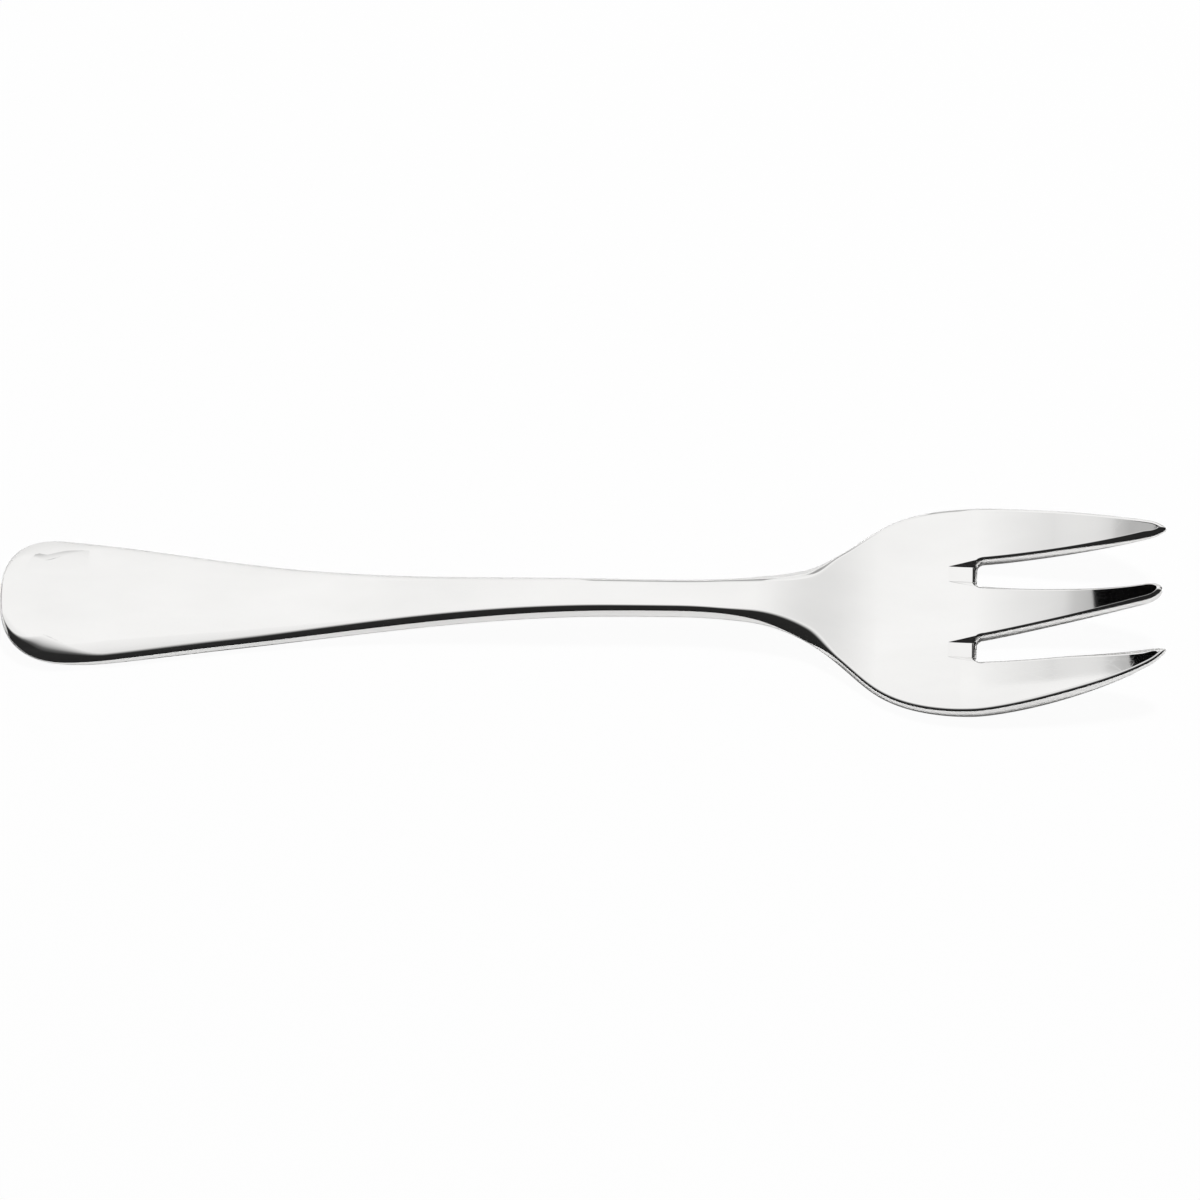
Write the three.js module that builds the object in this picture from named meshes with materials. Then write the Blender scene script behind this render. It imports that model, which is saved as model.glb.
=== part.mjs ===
// A three-tined oyster fork, stamped in one piece from stainless steel and polished. Millimetres.
// +X runs from the handle to the tine tips, +Y across the fork and +Z up from the table that it lies on.
// The origin is on the table, under the middle of the fork's length and width.
// The fork is drawn flat first, as a grid of points in plan, and then pressed: each point of the plan gets
// the height of the upper and of the lower face there. Stations are distances from the end of the handle.
import * as THREE from "three";
import { mergeVertices } from "three/addons/utils/BufferGeometryUtils.js";

const { clamp, lerp, smoothstep } = THREE.MathUtils;

// Outline in plan
const LENGTH = 145;
const HANDLE_WIDTH = 17.5;
const HANDLE_END_LENGTH = 7.9; // from the end of the handle to its widest station
const HANDLE_END_BLUNTNESS = 7; // reach of the end's curve back from its widest station
const HANDLE_END_FLATNESS = 3.5; // reach of the end's curve across its tip
const HANDLE_TAPER_START = 10; // how long the handle keeps its width
const HANDLE_TAPER_END = 46; // how early it comes close to the neck's width
const NECK_WIDTH = 4.85;
const NECK_TO_TIPS = 61.2;
const SHOULDER_START = 27.3; // how long the neck stays narrow
const SHOULDER_END = 19.7; // how early the shoulder comes close to the head's width
const HEAD_WIDTH = 29.2;
const HEAD_WIDEST_TO_TIPS = 23.6;
const FLANK_START = 4; // how long the head keeps its width towards the tips
const FLANK_END_REACH = 4; // slant of the flank at the outer tip: back along the fork
const FLANK_END_RISE = 2.75; // and outwards

// Tines and the two slots between them
const SLOT_LENGTH = 23.8; // from the tips to the slot's root
const SLOT_ROOT_CORNER = 0.9;
const OUTER_TINE_INSIDE_AT_ROOT = 7.3; // from the middle of the fork to the outer tine's inner edge
const OUTER_TIP_OFFSET = 9.2; // from the middle of the fork to an outer tip
const OUTER_TIP_WIDTH = 1.15;
const CENTRE_TINE_WIDTH_AT_ROOT = 7.3;
const CENTRE_TIP_WIDTH = 2.2;
const CENTRE_TINE_HOLLOW = 1.5; // power of the curve in which the centre tine narrows
const CENTRE_TIP_SETBACK = 0.5;
const TIP_NOSE_LENGTH = 2; // the rounded end of each tine

// Side view: height of the lower face above the table along the middle of the fork
const REST_START = 13.5; // the handle lies flat on the table from here
const REST_LENGTH = 15;
const HANDLE_END_LIFT = 1.2;
const NECK_RISE = 3.35;
const NECK_TOP_TO_TIPS = 51.5; // from here the neck bends down into the bowl
const NECK_TOP_LENGTH = 17.5; // it runs level for this long before
const BOWL_FLOOR_LENGTH = 8; // the bowl lies level for this long
const TINE_CURVE_LENGTH = 27; // from the end of the bowl's floor to the tips
const TIP_LIFT = 7.2;
const TINE_CURL = 1.9; // power of the tines' upward curve
const DISH_DEPTH = 0.55; // the head's edge above its middle

// Thickness along the middle of the fork
const HANDLE_END_THICKNESS = 1.5;
const HANDLE_THICKNESS = 1.8;
const NECK_THICKNESS = 2;
const BOWL_THICKNESS = 1.5;
const TINE_THICKNESS = 2.15;
const TINE_THICKEST_TO_TIPS = 14;
const CENTRE_TIP_THICKNESS = 1.9;
const OUTER_TIP_THICKNESS = 1.2;
const CROWN_EDGE_SLOPE = 0.18; // slope of the upper face at its edges, on the handle and neck
const CROWN_POWER = 4; // the crown is flat in the middle and bends near the edges

// Edges of the upper face: width in plan and depth in height
const HANDLE_TIP_EDGE_WIDTH = 0.25;
const HANDLE_TIP_EDGE_DEPTH = 0.25;
const HANDLE_CORNER = 4.8; // from the end of the handle to where its edge is widest
const HANDLE_CORNER_EDGE_WIDTH = 2.2;
const HANDLE_CORNER_EDGE_DEPTH = 0.45;
const HANDLE_EDGE_WIDTH = 0.9;
const HANDLE_EDGE_DEPTH = 0.6;
const WAIST_STATION = 54; // the slim part of the handle
const WAIST_EDGE_WIDTH = 1.1;
const WAIST_EDGE_DEPTH = 0.9;
const NECK_EDGE_WIDTH = 0.85;
const NECK_EDGE_DEPTH = 0.85;
const SHOULDER_EDGE_START_TO_TIPS = 56; // the edge widens from here
const SHOULDER_EDGE_TO_TIPS = 45; // to here, and narrows again
const SHOULDER_EDGE_WIDTH = 1.4;
const SHOULDER_EDGE_DEPTH = 0.8;
const HEAD_EDGE_TO_TIPS = 39; // from here to the tips the rim has the head's own rounding
const HEAD_EDGE_WIDTH = 0.42;
const HEAD_EDGE_DEPTH = 0.42;
const ROUND_EDGE = 0; // a rim is rounded,
const BEVELLED_EDGE = 1; // bevelled, or something between
const BEVEL_POWER = 1.5; // a bevel steepens from the face to the wall
const TINE_EDGE_WIDTH = 0.22;
const TINE_EDGE_DEPTH = 0.16;
const OUTER_TIP_EDGE_WIDTH = 0.9;
const CENTRE_TIP_EDGE_WIDTH = 0.45;
const TIP_EDGE_DEPTH = 0.5;
const TINE_EDGE_SHARE = 0.65; // most of a tine's half width that its edge takes up
const ROOT_EDGE_WIDTH = 0.7; // the edge of a slot's root
const ROOT_EDGE_DEPTH = 0.5;
const ROOT_TROUGH_DEPTH = 0.5; // each slot runs out into the bowl as a shallow trough
const ROOT_TROUGH_LENGTH = 2.7;
const ROOT_TROUGH_SIDE = 0.75; // width of the trough's sloping sides
const ROOT_TROUGH_SIDE_END = 0.25;
const ROOT_TROUGH_FADE = 2.5; // the sides fade out along the tines over this length

// Rounded edges of the lower face
const UNDER_EDGE_WIDTH = 0.6;
const UNDER_EDGE_DEPTH = 0.45;
const TINE_UNDER_EDGE_DEPTH = 0.9; // the tines are rounder underneath, between the slots

// Fineness of the grid
const HANDLE_END_ROWS = 9;
const HANDLE_ROWS = 16;
const SHOULDER_ROWS = 15;
const FLANK_ROWS = 10;
const ROOT_ROWS = 6;
const TINE_ROWS = 10;
const NOSE_ROWS = 4;
const RIM_STEPS = [0, 0.08, 0.35, 1]; // points across a rounded rim, as shares of its width
const SLOT_STEPS = [0, 0.3, 1]; // and across a slot's edge
const STEP_ROOM = 0.45; // most of a strip's width that the points of one edge take up
const OUTLINE_SAMPLES = 160; // points along each curve of the outline, to measure from

// Steel
const STEEL_COLOUR = 0xf3f2f0;
const STEEL_ROUGHNESS = 0.12;

// Stations and half widths that the sizes above give
const neckStation = LENGTH - NECK_TO_TIPS;
const neckTopEnd = LENGTH - NECK_TOP_TO_TIPS;
const neckTopStart = neckTopEnd - NECK_TOP_LENGTH;
const shoulderEdgeStart = LENGTH - SHOULDER_EDGE_START_TO_TIPS;
const shoulderEdgeStation = LENGTH - SHOULDER_EDGE_TO_TIPS;
const headEdgeStation = LENGTH - HEAD_EDGE_TO_TIPS;
const floorEnd = LENGTH - TINE_CURVE_LENGTH;
const floorStart = floorEnd - BOWL_FLOOR_LENGTH;
const widestStation = LENGTH - HEAD_WIDEST_TO_TIPS;
const rootStation = LENGTH - SLOT_LENGTH;
const slotStart = rootStation + SLOT_ROOT_CORNER; // where a slot has its full width
const thickestStation = LENGTH - TINE_THICKEST_TO_TIPS;
const centreTip = LENGTH - CENTRE_TIP_SETBACK;
const restEnd = REST_START + REST_LENGTH;
const handleHalf = HANDLE_WIDTH / 2;
const neckHalf = NECK_WIDTH / 2;
const headHalf = HEAD_WIDTH / 2;
const slotMiddle = (CENTRE_TINE_WIDTH_AT_ROOT / 2 + OUTER_TINE_INSIDE_AT_ROOT) / 2;

// One side of the outline, from the end of the handle to an outer tip, in four curves
function outlineCurve(...points) {
  return new THREE.CubicBezierCurve(...points.map((point) => new THREE.Vector2(...point)));
}

const handleEndCurve = outlineCurve(
  [0, 0],
  [0, HANDLE_END_FLATNESS],
  [HANDLE_END_LENGTH - HANDLE_END_BLUNTNESS, handleHalf],
  [HANDLE_END_LENGTH, handleHalf],
);
const handleCurve = outlineCurve(
  [HANDLE_END_LENGTH, handleHalf],
  [HANDLE_END_LENGTH + HANDLE_TAPER_START, handleHalf],
  [neckStation - HANDLE_TAPER_END, neckHalf],
  [neckStation, neckHalf],
);
const shoulderCurve = outlineCurve(
  [neckStation, neckHalf],
  [neckStation + SHOULDER_START, neckHalf],
  [widestStation - SHOULDER_END, headHalf],
  [widestStation, headHalf],
);
const flankCurve = outlineCurve(
  [widestStation, headHalf],
  [widestStation + FLANK_START, headHalf],
  [LENGTH - FLANK_END_REACH, OUTER_TIP_OFFSET + FLANK_END_RISE],
  [LENGTH, OUTER_TIP_OFFSET],
);
const outline = [handleEndCurve, handleCurve, shoulderCurve, flankCurve].flatMap((curve) =>
  curve.getPoints(OUTLINE_SAMPLES),
);

// Half the fork's width at a station, between two points of the outline
function halfWidth(station) {
  const next = outline.findIndex((point) => point.x > station);
  if (next < 0) return OUTER_TIP_OFFSET;
  const before = outline[next - 1];
  const after = outline[next];
  return lerp(before.y, after.y, (station - before.x) / (after.x - before.x));
}

// Distance in plan from a point of the fork to its outline
function outlineDistance(station, across) {
  const point = new THREE.Vector2(station, Math.abs(across));
  const along = new THREE.Vector2();
  const offset = new THREE.Vector2();
  let nearest = Infinity;
  for (let i = 1; i < outline.length; i++) {
    along.subVectors(outline[i], outline[i - 1]);
    offset.subVectors(point, outline[i - 1]);
    const share = clamp(offset.dot(along) / (along.lengthSq() || 1), 0, 1);
    nearest = Math.min(nearest, offset.addScaledVector(along, -share).length());
  }
  return nearest;
}

// Value at a station of a smooth curve through [station, value] knots, level at every knot
function levelCurve(station, ...knots) {
  const next = knots.findIndex(([at]) => at > station);
  if (next < 0) return knots.at(-1)[1];
  if (next === 0) return knots[0][1];
  const [from, start] = knots[next - 1];
  const [to, end] = knots[next];
  return lerp(start, end, smoothstep(station, from, to));
}

function lowerHeight(station) {
  if (station > floorEnd) return TIP_LIFT * ((station - floorEnd) / TINE_CURVE_LENGTH) ** TINE_CURL;
  return levelCurve(
    station,
    [0, HANDLE_END_LIFT],
    [REST_START, 0],
    [restEnd, 0],
    [neckTopStart, NECK_RISE],
    [neckTopEnd, NECK_RISE],
    [floorStart, 0],
  );
}

// The centre tine or an outer tine's value, by a point's place across the fork
function byTine(across, centre, outer) {
  return Math.abs(across) < slotMiddle ? centre : outer;
}

function thickness(station, across) {
  return levelCurve(
    station,
    [0, HANDLE_END_THICKNESS],
    [restEnd, HANDLE_THICKNESS],
    [neckStation, NECK_THICKNESS],
    [floorStart, BOWL_THICKNESS],
    [thickestStation, TINE_THICKNESS],
    [LENGTH, byTine(across, CENTRE_TIP_THICKNESS, OUTER_TIP_THICKNESS)],
  );
}

function rimEdgeWidth(station) {
  return levelCurve(
    station,
    [0, HANDLE_TIP_EDGE_WIDTH],
    [HANDLE_CORNER, HANDLE_CORNER_EDGE_WIDTH],
    [REST_START, HANDLE_EDGE_WIDTH],
    [restEnd, HANDLE_EDGE_WIDTH],
    [WAIST_STATION, WAIST_EDGE_WIDTH],
    [neckStation, NECK_EDGE_WIDTH],
    [shoulderEdgeStart, NECK_EDGE_WIDTH],
    [shoulderEdgeStation, SHOULDER_EDGE_WIDTH],
    [headEdgeStation, HEAD_EDGE_WIDTH],
  );
}

function rimEdgeDepth(station) {
  return levelCurve(
    station,
    [0, HANDLE_TIP_EDGE_DEPTH],
    [HANDLE_CORNER, HANDLE_CORNER_EDGE_DEPTH],
    [REST_START, HANDLE_EDGE_DEPTH],
    [restEnd, HANDLE_EDGE_DEPTH],
    [WAIST_STATION, WAIST_EDGE_DEPTH],
    [neckStation, NECK_EDGE_DEPTH],
    [shoulderEdgeStart, NECK_EDGE_DEPTH],
    [shoulderEdgeStation, SHOULDER_EDGE_DEPTH],
    [headEdgeStation, HEAD_EDGE_DEPTH],
  );
}

function rimBevel(station) {
  return levelCurve(
    station,
    [REST_START, BEVELLED_EDGE],
    [restEnd, ROUND_EDGE],
    [shoulderEdgeStart, ROUND_EDGE],
    [shoulderEdgeStation, BEVELLED_EDGE],
    [headEdgeStation, ROUND_EDGE],
  );
}

// How much of its width a tine still has at a station, where its rounded nose draws it in
function noseShare(station, tip) {
  const into = clamp(1 - (tip - station) / TIP_NOSE_LENGTH, 0, 1);
  return Math.sqrt(1 - into * into);
}

function centreTineHalf(station) {
  const left = clamp((LENGTH - station) / SLOT_LENGTH, 0, 1);
  const taper = lerp(CENTRE_TIP_WIDTH, CENTRE_TINE_WIDTH_AT_ROOT, left ** CENTRE_TINE_HOLLOW) / 2;
  return taper * noseShare(station, centreTip);
}

// Distances from the middle of the fork to the two edges of an outer tine
function outerTineEdges(station) {
  const along = clamp(1 - (LENGTH - station) / SLOT_LENGTH, 0, 1);
  const inside = lerp(OUTER_TINE_INSIDE_AT_ROOT, OUTER_TIP_OFFSET - OUTER_TIP_WIDTH, along);
  const outside = halfWidth(station);
  const middle = (inside + outside) / 2;
  const half = ((outside - inside) / 2) * noseShare(station, LENGTH);
  return { inside: middle - half, outside: middle + half };
}

// Drop of an edge at a share of its width: all of its depth at 0, nothing from 1 on
function edgeDrop(share, depth, bevel) {
  const outward = 1 - clamp(share, 0, 1);
  return depth * lerp(1 - Math.sqrt(1 - outward * outward), outward ** BEVEL_POWER, bevel);
}

// How far a point lies from the nearer slot: beside it, and ahead of its root
function slotOffset(station, across) {
  const side = Math.abs(across);
  const beside = Math.max(centreTineHalf(station) - side, side - outerTineEdges(station).inside, 0);
  return { beside, ahead: Math.max(rootStation - station, 0) };
}

// Width of the bevelled edge along a slot, limited by half the width of the tine that it is on
function slotEdgeWidth(station, across) {
  const { inside, outside } = outerTineEdges(station);
  const half = byTine(across, centreTineHalf(station), (outside - inside) / 2);
  const tipWidth = byTine(across, CENTRE_TIP_EDGE_WIDTH, OUTER_TIP_EDGE_WIDTH);
  const width = levelCurve(station, [thickestStation, TINE_EDGE_WIDTH], [LENGTH, tipWidth]);
  return Math.min(width, TINE_EDGE_SHARE * half);
}

function slotEdgeDrop(station, across) {
  const { beside, ahead } = slotOffset(station, across);
  const sideShare = beside === 0 ? 0 : beside / slotEdgeWidth(station, across);
  const depth = levelCurve(
    station,
    [rootStation, ROOT_EDGE_DEPTH],
    [slotStart, TINE_EDGE_DEPTH],
    [thickestStation, TINE_EDGE_DEPTH],
    [LENGTH, TIP_EDGE_DEPTH],
  );
  return edgeDrop(Math.hypot(sideShare, ahead / ROOT_EDGE_WIDTH), depth, BEVELLED_EDGE);
}

function rootTroughDepth(station, across) {
  const { beside, ahead } = slotOffset(station, across);
  const fade = smoothstep(station, rootStation, rootStation + ROOT_TROUGH_FADE);
  const run = clamp(1 - ahead / ROOT_TROUGH_LENGTH, 0, 1) * (1 - fade);
  const side = lerp(ROOT_TROUGH_SIDE_END, ROOT_TROUGH_SIDE, run);
  return ROOT_TROUGH_DEPTH * run * clamp(1 - beside / side, 0, 1) ** BEVEL_POWER;
}

// Rise of the lower face towards its rounded edges
function underRise(station, across, rim) {
  const { beside, ahead } = slotOffset(station, across);
  const tineDepth = levelCurve(
    station,
    [rootStation, UNDER_EDGE_DEPTH],
    [thickestStation, TINE_UNDER_EDGE_DEPTH],
    [LENGTH, UNDER_EDGE_DEPTH],
  );
  return Math.max(
    edgeDrop(rim / UNDER_EDGE_WIDTH, UNDER_EDGE_DEPTH, ROUND_EDGE),
    edgeDrop(Math.hypot(beside, ahead) / UNDER_EDGE_WIDTH, tineDepth, ROUND_EDGE),
  );
}

function rimDistance(station, across) {
  const inPlan = outlineDistance(station, across);
  if (station <= slotStart) return inPlan;
  return Math.min(inPlan, outerTineEdges(station).outside - Math.abs(across));
}

// Upper and lower point of the pressed fork over a point of its plan
function press({ station, across }) {
  const rim = rimDistance(station, across);
  const headShare = smoothstep(station, neckStation, floorStart);
  const half = Math.max(halfWidth(station), neckHalf);
  const crownHeight = ((CROWN_EDGE_SLOPE * half) / CROWN_POWER) * (1 - headShare);
  const crown = crownHeight * Math.abs(across / half) ** CROWN_POWER;
  const dish = DISH_DEPTH * headShare * (across / headHalf) ** 2;
  const edge = Math.max(
    edgeDrop(rim / rimEdgeWidth(station), rimEdgeDepth(station), rimBevel(station)),
    slotEdgeDrop(station, across),
  );
  const lower = lowerHeight(station) + dish;
  const upper = lower + thickness(station, across) - crown - rootTroughDepth(station, across) - edge;
  const x = station - LENGTH / 2;
  return {
    upper: new THREE.Vector3(x, across, upper),
    lower: new THREE.Vector3(x, across, lower + underRise(station, across, rim)),
  };
}

// Points across a strip of the plan, closer together along its two edges
function acrossStrip(low, high, lowEdge, highEdge) {
  const room = STEP_ROOM * (high - low);
  const fromLow = lowEdge.steps.map((step) => low + step * Math.min(lowEdge.width, room));
  const fromHigh = highEdge.steps.map((step) => high - step * Math.min(highEdge.width, room));
  return [...fromLow, ...fromHigh.reverse()];
}

function rimSteps(station) {
  return { steps: RIM_STEPS, width: rimEdgeWidth(station) };
}

const slotSteps = { steps: SLOT_STEPS, width: ROOT_TROUGH_SIDE };
const cornerSteps = { steps: SLOT_STEPS, width: SLOT_ROOT_CORNER };

function planRow(station, columns) {
  return columns.map((across) => ({ station, across }));
}

function mirrored(row) {
  return row.map(({ station, across }) => ({ station, across: -across })).reverse();
}

function join(...strips) {
  return strips.flatMap((strip, i) => (i === 0 ? strip : strip.slice(1)));
}

// A row across the whole fork, in five strips: outer tine, slot, centre tine, slot, outer tine.
// The slot strips are solid here. Near the roots their points step back to the slots' rounded ends.
function bodyRow(station) {
  const half = halfWidth(station);
  const scale = half / halfWidth(slotStart);
  const centre = centreTineHalf(slotStart) * scale;
  const inside = outerTineEdges(slotStart).inside * scale;
  const tuck = smoothstep(station, slotStart - SLOT_ROOT_CORNER - ROOT_TROUGH_LENGTH, slotStart);
  const centreStrip = planRow(station, acrossStrip(-centre, centre, slotSteps, slotSteps));
  const outerStrip = planRow(station, acrossStrip(inside, half, slotSteps, rimSteps(station)));
  const slotStrip = acrossStrip(centre, inside, cornerSteps, cornerSteps).map((across) => {
    const toCorner = Math.max(SLOT_ROOT_CORNER - Math.min(across - centre, inside - across), 0);
    return { station: station - tuck * Math.sqrt(SLOT_ROOT_CORNER ** 2 - toCorner ** 2), across };
  });
  return {
    whole: join(mirrored(outerStrip), mirrored(slotStrip), centreStrip, slotStrip, outerStrip),
    slotStrip,
  };
}

function centreTineRow(station) {
  const half = centreTineHalf(station);
  return planRow(station, acrossStrip(-half, half, slotSteps, slotSteps));
}

function outerTineRow(station) {
  const { inside, outside } = outerTineEdges(station);
  return planRow(station, acrossStrip(inside, outside, slotSteps, rimSteps(station)));
}

// Stations of the rows: along the body they follow the outline's curves, and towards a tip its nose
function bodyStations() {
  const rootBand = slotStart - SLOT_ROOT_CORNER - ROOT_TROUGH_LENGTH;
  const alongCurves = [
    [handleEndCurve, HANDLE_END_ROWS],
    [handleCurve, HANDLE_ROWS],
    [shoulderCurve, SHOULDER_ROWS],
    [flankCurve, FLANK_ROWS],
  ].flatMap(([curve, rows]) => curve.getPoints(rows).slice(0, -1));
  const rootSpacing = (slotStart - rootBand) / ROOT_ROWS;
  const beforeRoot = alongCurves
    .map((point) => point.x)
    .filter((station) => station < rootBand - rootSpacing / 2);
  const atRoot = Array.from({ length: ROOT_ROWS + 1 }, (_, i) => rootBand + i * rootSpacing);
  return [...beforeRoot, ...atRoot];
}

function tineStations(tip) {
  const noseStart = tip - TIP_NOSE_LENGTH;
  const straight = Array.from({ length: TINE_ROWS }, (_, i) => lerp(slotStart, noseStart, i / TINE_ROWS));
  const nose = Array.from({ length: NOSE_ROWS + 1 }, (_, i) => {
    return noseStart + TIP_NOSE_LENGTH * Math.sin((i / NOSE_ROWS) * (Math.PI / 2));
  });
  return [...straight, ...nose];
}

// Skin of the fork, as a list of triangle corners
const corners = [];

function addTriangle(a, b, c) {
  if (a.equals(b) || b.equals(c) || c.equals(a)) return;
  corners.push(a, b, c);
}

function addQuad(a, b, c, d) {
  addTriangle(a, b, c);
  addTriangle(a, c, d);
}

// Upper and lower face over a patch of the plan, from its rows
function addFaces(rows) {
  const pressed = rows.map((row) => row.map(press));
  for (let i = 1; i < pressed.length; i++) {
    for (let j = 1; j < pressed[i].length; j++) {
      const ring = [pressed[i - 1][j - 1], pressed[i][j - 1], pressed[i][j], pressed[i - 1][j]];
      addQuad(...ring.map((point) => point.upper));
      addQuad(...ring.map((point) => point.lower).reverse());
    }
  }
}

// Side wall between the two faces, round the whole plan with the metal on the left
function addWall(loop) {
  const pressed = loop.map(press);
  pressed.forEach((to, i) => {
    const from = pressed.at(i - 1);
    addQuad(from.lower, to.lower, to.upper, from.upper);
  });
}

function firstPoints(rows) {
  return rows.map((row) => row[0]);
}

function lastPointsBack(rows) {
  return rows.map((row) => row.at(-1)).reverse();
}

function makeFork() {
  const body = bodyStations().map(bodyRow);
  const bodyRows = body.map((row) => row.whole);
  const rootEnd = body.at(-1).slotStrip;
  const leftTine = tineStations(LENGTH).map(outerTineRow);
  const rightTine = leftTine.map(mirrored);
  const centreTine = tineStations(centreTip).map(centreTineRow);
  [bodyRows, leftTine, centreTine, rightTine].forEach(addFaces);
  addWall([
    ...firstPoints(bodyRows),
    ...firstPoints(rightTine),
    ...lastPointsBack(rightTine),
    ...mirrored(rootEnd),
    ...firstPoints(centreTine),
    ...lastPointsBack(centreTine),
    ...rootEnd,
    ...firstPoints(leftTine),
    ...lastPointsBack(leftTine),
    ...lastPointsBack(bodyRows),
  ]);
  const geometry = mergeVertices(new THREE.BufferGeometry().setFromPoints(corners));
  geometry.computeVertexNormals();
  const steel = new THREE.MeshStandardMaterial({
    color: STEEL_COLOUR,
    roughness: STEEL_ROUGHNESS,
    metalness: 1,
  });
  const fork = new THREE.Mesh(geometry, steel);
  fork.name = "fork";
  return fork;
}

const oysterFork = new THREE.Group();
oysterFork.add(makeFork());

export default oysterFork;
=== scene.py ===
# A three-tined oyster fork in polished stainless steel, lying on a white table in a photo studio.
# Metres. +X runs from the handle to the tine tips, +Y across the fork and +Z up from the table.
import math

import bpy
import numpy as np
from mathutils import Matrix, Vector


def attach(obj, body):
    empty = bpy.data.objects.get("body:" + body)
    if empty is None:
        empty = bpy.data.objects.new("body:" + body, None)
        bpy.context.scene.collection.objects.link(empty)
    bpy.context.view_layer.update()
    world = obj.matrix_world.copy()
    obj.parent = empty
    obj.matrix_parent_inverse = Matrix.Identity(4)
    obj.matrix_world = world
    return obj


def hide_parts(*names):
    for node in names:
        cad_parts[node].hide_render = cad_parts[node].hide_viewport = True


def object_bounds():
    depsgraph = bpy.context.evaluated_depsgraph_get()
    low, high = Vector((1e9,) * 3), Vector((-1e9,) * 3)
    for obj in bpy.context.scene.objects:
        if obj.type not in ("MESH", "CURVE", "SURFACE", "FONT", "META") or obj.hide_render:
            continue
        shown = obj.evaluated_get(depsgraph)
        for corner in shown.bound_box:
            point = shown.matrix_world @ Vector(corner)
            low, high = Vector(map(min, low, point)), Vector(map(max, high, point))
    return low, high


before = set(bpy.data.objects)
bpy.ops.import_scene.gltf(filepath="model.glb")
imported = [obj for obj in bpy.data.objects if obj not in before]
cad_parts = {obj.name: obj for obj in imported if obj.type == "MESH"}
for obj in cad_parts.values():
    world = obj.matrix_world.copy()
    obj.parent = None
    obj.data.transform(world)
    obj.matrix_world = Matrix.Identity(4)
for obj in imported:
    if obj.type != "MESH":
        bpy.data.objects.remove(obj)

MM = 0.001
cad_low, cad_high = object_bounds()

# Outline in plan
LENGTH = cad_high.x - cad_low.x
HANDLE_WIDTH = 17.5 * MM
HANDLE_END_LENGTH = 7.9 * MM  # from the end of the handle to its widest station
HANDLE_END_BLUNTNESS = 7 * MM  # reach of the end's curve back from its widest station
HANDLE_END_FLATNESS = 3.5 * MM  # reach of the end's curve across its tip
HANDLE_TAPER_START = 10 * MM  # how long the handle keeps its width
HANDLE_TAPER_END = 46 * MM  # how early it comes close to the neck's width
NECK_WIDTH = 4.85 * MM
NECK_TO_TIPS = 61.2 * MM  # from the neck's narrowest station
SHOULDER_START = 27.3 * MM  # how long the neck stays narrow
SHOULDER_END = 19.7 * MM  # how early the shoulder comes close to the head's width
HEAD_WIDTH = cad_high.y - cad_low.y
HEAD_WIDEST_TO_TIPS = 23.6 * MM
FLANK_START = 4 * MM  # how long the head keeps its width towards the tips
FLANK_END_REACH = 4 * MM  # slant of the flank at the outer tip: back along the fork
FLANK_END_RISE = 2.75 * MM  # and outwards

# Tines and the two slots between them
SLOT_LENGTH = 23.4 * MM  # from the tips to the slot's root
SLOT_ROOT_CORNER = 0.9 * MM  # radius of the root's corners
OUTER_TINE_INSIDE_AT_ROOT = 7.3 * MM  # from the middle of the fork to the outer tine's inner edge
OUTER_TIP_OFFSET = 9.2 * MM  # from the middle of the fork to an outer tip
OUTER_TIP_WIDTH = 1.15 * MM
CENTRE_TINE_WIDTH_AT_ROOT = 7.3 * MM
CENTRE_TIP_WIDTH = 2.2 * MM
CENTRE_TINE_HOLLOW = 1.5  # power of the curve in which the centre tine narrows
CENTRE_TIP_SETBACK = 0.5 * MM
TIP_NOSE_LENGTH = 2 * MM  # the rounded end of each tine

# Side view: height of the lower face above the table along the middle of the fork
REST_START = 13.5 * MM  # the handle lies flat on the table from here
REST_LENGTH = 15 * MM
HANDLE_END_LIFT = 1.2 * MM
NECK_RISE = 3.35 * MM
NECK_TOP_TO_TIPS = 51.5 * MM  # from here the neck bends down into the bowl
NECK_TOP_LENGTH = 17.5 * MM  # it runs level for this long before
BOWL_FLOOR_LENGTH = 8 * MM  # the bowl lies level for this long
TINE_CURVE_LENGTH = 27 * MM  # from the end of the bowl's floor to the tips
TIP_LIFT = 7.2 * MM
TINE_CURL = 1.9  # power of the tines' upward curve
DISH_DEPTH = 0.55 * MM  # the head's edge above its middle

# Thickness along the middle of the fork
HANDLE_END_THICKNESS = 1.5 * MM
HANDLE_THICKNESS = 1.8 * MM
NECK_THICKNESS = 2 * MM
BOWL_THICKNESS = 1.5 * MM
TINE_THICKNESS = 2.15 * MM
TINE_THICKEST_TO_TIPS = 14 * MM
CENTRE_TIP_THICKNESS = 1.9 * MM
OUTER_TIP_THICKNESS = 1.2 * MM
CROWN_EDGE_SLOPE = 0.18  # slope of the upper face at its edges, on the handle and neck
CROWN_POWER = 4  # the crown is flat in the middle and bends near the edges

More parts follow.
